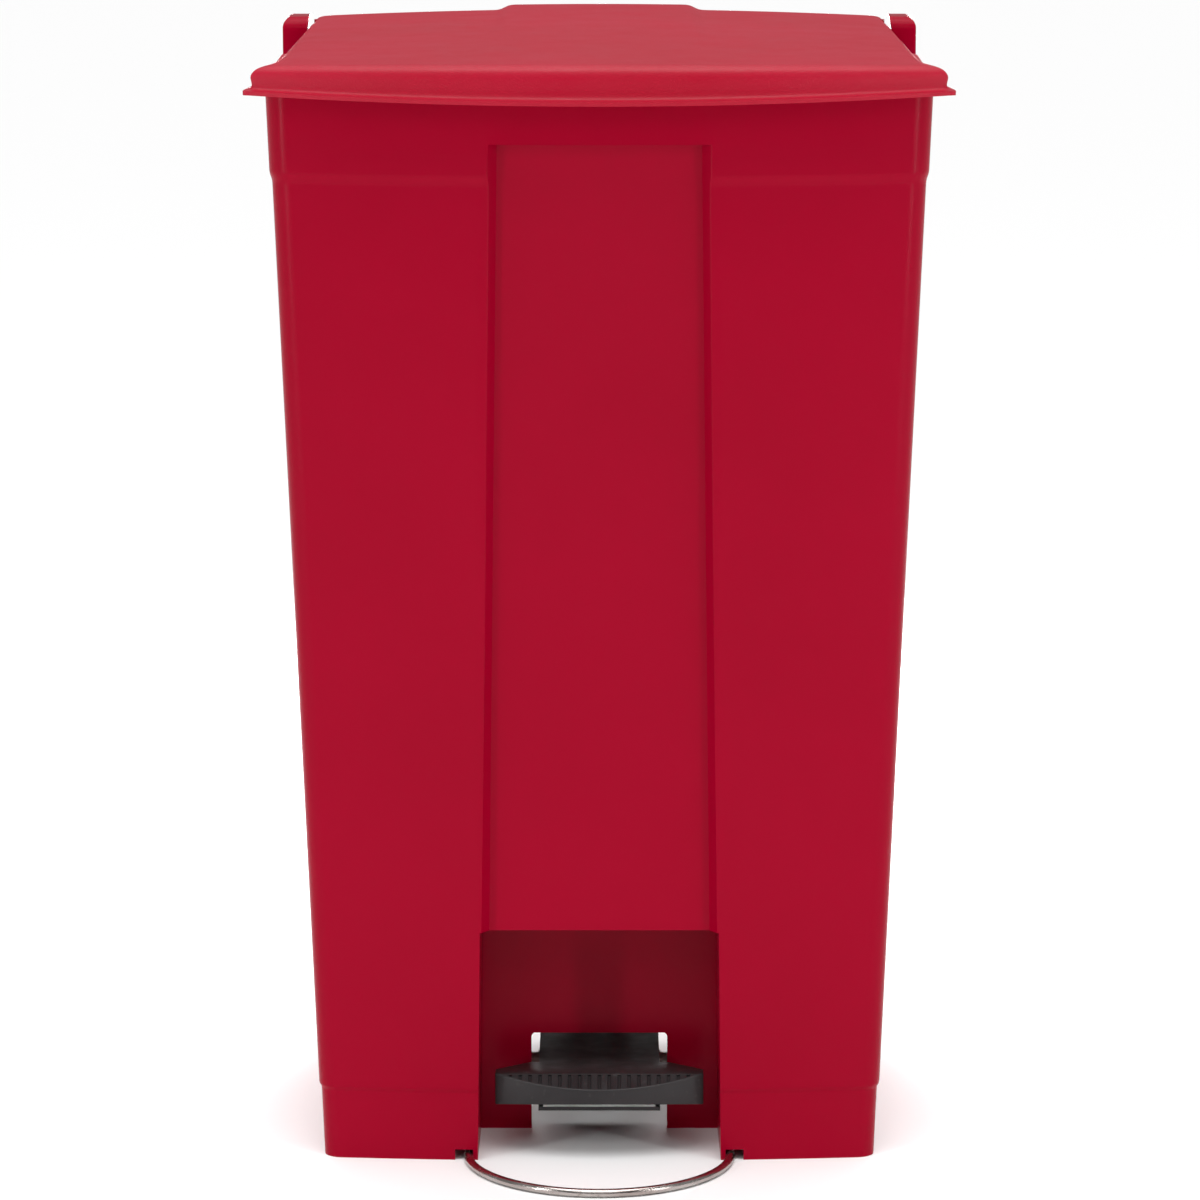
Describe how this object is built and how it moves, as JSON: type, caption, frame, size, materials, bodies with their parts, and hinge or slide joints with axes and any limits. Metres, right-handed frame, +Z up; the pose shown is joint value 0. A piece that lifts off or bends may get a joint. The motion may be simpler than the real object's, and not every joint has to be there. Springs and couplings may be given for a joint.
{
  "type": "step-on oily waste can",
  "caption": "Tapered rectangular moulded waste can with a bowed front, hinged overhanging lid, ribbed foot pedal in a recess, lift rod, floor stabiliser wire and recessed rear wheels.",
  "frame": {"origin": "centre of the overall footprint, from the stabiliser wire's front to the lid's rear edge, on the floor", "axes": "+Z up, front faces -Y, +X to the viewer's right when facing the front"},
  "size_m": [0.502, 0.435, 0.826],
  "materials": {
    "bin_red": "satin moulded plastic",
    "lid_red": "satin moulded plastic",
    "black_plastic": "fine-grained moulded plastic",
    "pale_plastic": "self-lubricating plastic",
    "wire_steel": "plated wire, worn satin",
    "rod_steel": "bright zinc plated",
    "plate_steel": "zinc plated sheet",
    "fastener_steel": "zinc plated",
    "wheel_rubber": "matt rubber",
    "bumper_rubber": "matt rubber"
  },
  "bodies": {
    "bin": {"bin_body": "bin_red", "hinge_pin_left": "fastener_steel", "hinge_pin_right": "fastener_steel", "pin_nut_left": "fastener_steel", "pin_nut_right": "fastener_steel", "rod_guide_top": "black_plastic", "rod_guide_bottom": "black_plastic", "pedal_axle": "rod_steel", "axle_nut_left": "fastener_steel", "axle_nut_right": "fastener_steel", "wire_loop": "wire_steel", "wire_clip_left": "black_plastic", "wire_clip_right": "black_plastic", "clip_screw_left": "fastener_steel", "clip_screw_right": "fastener_steel", "wheel_pin_left": "fastener_steel", "wheel_pin_right": "fastener_steel"},
    "lid": {"lid": "lid_red", "lid_bracket": "plate_steel", "bracket_screw_a": "fastener_steel", "bracket_screw_b": "fastener_steel", "bumper_left": "bumper_rubber", "bumper_right": "bumper_rubber"},
    "lift_rod": {"lift_rod": "rod_steel", "rod_nut_top": "fastener_steel", "rod_nut_bottom": "fastener_steel"},
    "pedal": {"pedal": "black_plastic", "pedal_lever": "plate_steel", "lever_bolt_front": "fastener_steel", "lever_bolt_rear": "fastener_steel", "pedal_bush_left": "pale_plastic", "pedal_bush_right": "pale_plastic"},
    "wheel_left": {"wheel_left": "wheel_rubber"},
    "wheel_right": {"wheel_right": "wheel_rubber"}
  },
  "joints": [
    {"name": "lid_hinge", "type": "hinge", "parent": "bin", "child": "lid", "pos_m": [0, 0.1925, 0.7975], "axis": [-1, 0, 0], "range_deg": [0, 70]},
    {"name": "rod_lift", "type": "slide", "parent": "bin", "child": "lift_rod", "axis": [0, 0, 1], "range_m": [0, 0.03082]},
    {"name": "pedal_pivot", "type": "hinge", "parent": "bin", "child": "pedal", "pos_m": [0, 0.0115, 0.038], "axis": [1, 0, 0], "range_deg": [0, 11.12]},
    {"name": "wheel_spin_left", "type": "hinge", "parent": "bin", "child": "wheel_left", "pos_m": [-0.165, 0.1765, 0.026], "axis": [1, 0, 0], "continuous": true},
    {"name": "wheel_spin_right", "type": "hinge", "parent": "bin", "child": "wheel_right", "pos_m": [0.165, 0.1765, 0.026], "axis": [1, 0, 0], "continuous": true}
  ],
  "couplings": [
    {"joint": "rod_lift", "follows": "lid_hinge", "m_per_rad": 0.025218},
    {"joint": "pedal_pivot", "follows": "lid_hinge", "ratio": 0.15885}
  ]
}
